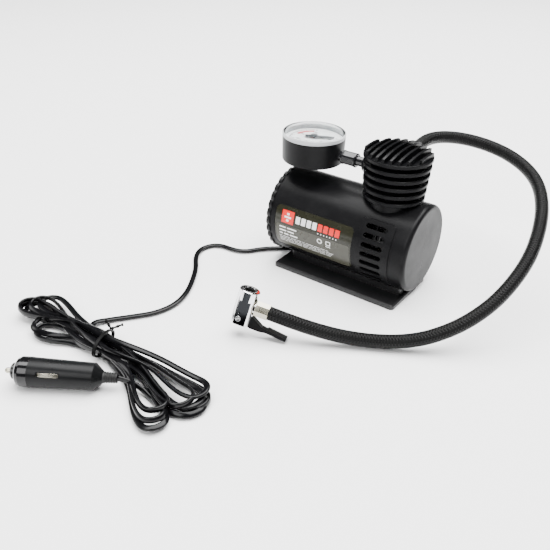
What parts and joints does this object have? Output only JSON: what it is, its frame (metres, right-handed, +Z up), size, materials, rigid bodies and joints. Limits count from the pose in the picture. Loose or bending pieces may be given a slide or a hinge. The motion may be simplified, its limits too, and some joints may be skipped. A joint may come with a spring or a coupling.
{
  "type": "tire inflator",
  "caption": "Portable 12 V tyre inflator: barrel motor housing, finned piston pump head, dial gauge, braided hose with thumb-lock chuck, tied supply cable and lighter-socket plug.",
  "frame": {"origin": "a point on the base plate's underside straight below the middle of the barrel; the underside stands on the floor", "axes": "+X along the barrel towards the pump head's end, +Z up, -Y towards the long side with the label, hose end and plug"},
  "size_m": [0.3167, 0.3951, 0.1214],
  "materials": {
    "black_plastic": "satin moulded ABS",
    "head_black": "satin black paint on cast alloy",
    "label_gloss": "printed glossy label with plain colour bars",
    "black_rubber": "matt rubber",
    "screw_steel": "zinc-plated screws",
    "zinc_steel": "plated steel",
    "bronze": "sintered bronze or brass",
    "ferrite": "dark ferrite and laminated iron",
    "cast_aluminium": "as cast and machined",
    "clear_lens": "clear moulded acrylic",
    "dial_white": "white printed card or sheet",
    "needle_grey": "grey moulded pointer",
    "nut_black": "glossy black fitting",
    "hose_braid": "fine black textile braid over rubber",
    "nickel_brass": "nickel-plated crimped ferrule",
    "chrome_plate": "bright plated zinc or brass",
    "lever_black": "black plastic lever",
    "cable_black": "glossy black twin-core PVC cable",
    "tie_black": "black plastic-covered twist tie",
    "plug_plastic": "satin black plastic",
    "plug_gloss": "glossy black plastic",
    "fuse_glass": "glass tube fuse"
  },
  "bodies": {
    "inflator_body": {"base_plate": "black_plastic", "base_screws": "screw_steel", "cable_grommet": "black_rubber", "housing_front": "black_plastic", "housing_back": "black_plastic", "label_plate": "label_gloss", "housing_screws": "screw_steel", "rear_cap": "black_plastic", "motor_can": "zinc_steel", "motor_end_bell": "black_plastic", "motor_bushes": "bronze", "motor_magnets": "ferrite", "motor_screws": "screw_steel", "crank_bearing": "bronze", "drive_frame": "zinc_steel", "head_screws": "screw_steel", "cylinder_gasket": "black_rubber", "cylinder_sleeve": "cast_aluminium", "valve_plate": "cast_aluminium", "valve_spring": "zinc_steel", "cylinder_head": "head_black", "gauge_case": "black_plastic", "gauge_lens": "clear_lens", "gauge_dial": "dial_white", "gauge_movement": "bronze", "gauge_bourdon_tube": "bronze", "gauge_nut": "nut_black", "gauge_nipple": "nut_black", "hose_tube": "hose_braid", "hose_fitting": "nut_black", "hose_ferrule": "nickel_brass", "chuck_body": "chrome_plate", "chuck_seal": "black_rubber", "chuck_pivot_pin": "chrome_plate", "cable_tube": "cable_black", "cable_hank": "cable_black", "cable_tie": "tie_black", "cable_tail": "cable_black", "plug_body": "plug_plastic", "plug_nose_cap": "plug_gloss", "plug_strain_relief": "black_rubber", "plug_spring": "zinc_steel"},
    "motor_rotor": {"motor_armature": "ferrite", "motor_shaft": "zinc_steel", "motor_pinion": "bronze"},
    "crank": {"crank_gear": "zinc_steel", "crank_counterweight": "zinc_steel", "crank_shaft": "zinc_steel", "crank_pin": "zinc_steel"},
    "piston": {"piston_rod": "cast_aluminium", "piston_cup": "black_rubber", "piston_retainer": "screw_steel"},
    "outlet_disc": {"outlet_valve": "bronze"},
    "pressure_needle": {"gauge_needle": "needle_grey"},
    "valve_lever": {"chuck_lever": "lever_black"},
    "valve_opener": {"chuck_plunger": "bronze"},
    "plug_tip": {"plug_tip_contact": "chrome_plate", "plug_fuse": "fuse_glass"},
    "upper_contact": {"plug_side_contact_upper": "chrome_plate"},
    "lower_contact": {"plug_side_contact_lower": "chrome_plate"}
  },
  "joints": [
    {"name": "crank_spin", "type": "hinge", "parent": "inflator_body", "child": "crank", "pos_m": [0.0205, 0, 0.0481], "axis": [1, 0, 0], "continuous": true},
    {"name": "motor_spin", "type": "hinge", "parent": "inflator_body", "child": "motor_rotor", "pos_m": [-0.016, 0, 0.0265], "axis": [1, 0, 0], "continuous": true},
    {"name": "piston_stroke", "type": "slide", "parent": "inflator_body", "child": "piston", "axis": [0, 0, 1], "range_m": [0, 0.0112]},
    {"name": "outlet_lift", "type": "slide", "parent": "inflator_body", "child": "outlet_disc", "axis": [0, 0, 1], "range_m": [0, 0.0008], "stiffness_N_per_m": 300, "springref_m": -0.001, "deforming": ["valve_spring"]},
    {"name": "needle_turn", "type": "hinge", "parent": "inflator_body", "child": "pressure_needle", "pos_m": [-0.0498, 0, 0.1103], "axis": [0, 0, -1], "range_deg": [0, 270], "stiffness_Nm_per_rad": 0.0001},
    {"name": "chuck_lever_lift", "type": "hinge", "parent": "inflator_body", "child": "valve_lever", "pos_m": [-0.02164, -0.13603, 0.01504], "axis": [-0.3871, 0.8866, -0.2532], "range_deg": [0, 90]},
    {"name": "chuck_opener_drop", "type": "slide", "parent": "inflator_body", "child": "valve_opener", "axis": [-0.107, -0.3159, -0.9427], "range_m": [0, 0.0008]},
    {"name": "plug_tip_press", "type": "slide", "parent": "inflator_body", "child": "plug_tip", "axis": [0.8398, 0.5424, -0.0256], "range_m": [0, 0.0025], "stiffness_N_per_m": 400, "springref_m": -0.002},
    {"name": "upper_contact_press", "type": "slide", "parent": "inflator_body", "child": "upper_contact", "axis": [-0.4745, 0.7101, -0.5202], "range_m": [0, 0.0006], "stiffness_N_per_m": 600, "springref_m": -0.001},
    {"name": "lower_contact_press", "type": "slide", "parent": "inflator_body", "child": "lower_contact", "axis": [0.4745, -0.7101, 0.5202], "range_m": [0, 0.0006], "stiffness_N_per_m": 600, "springref_m": -0.001}
  ],
  "couplings": [
    {"joint": "motor_spin", "follows": "crank_spin", "ratio": -4.4},
    {"joint": "chuck_opener_drop", "follows": "chuck_lever_lift", "m_per_rad": 0.0005093}
  ]
}
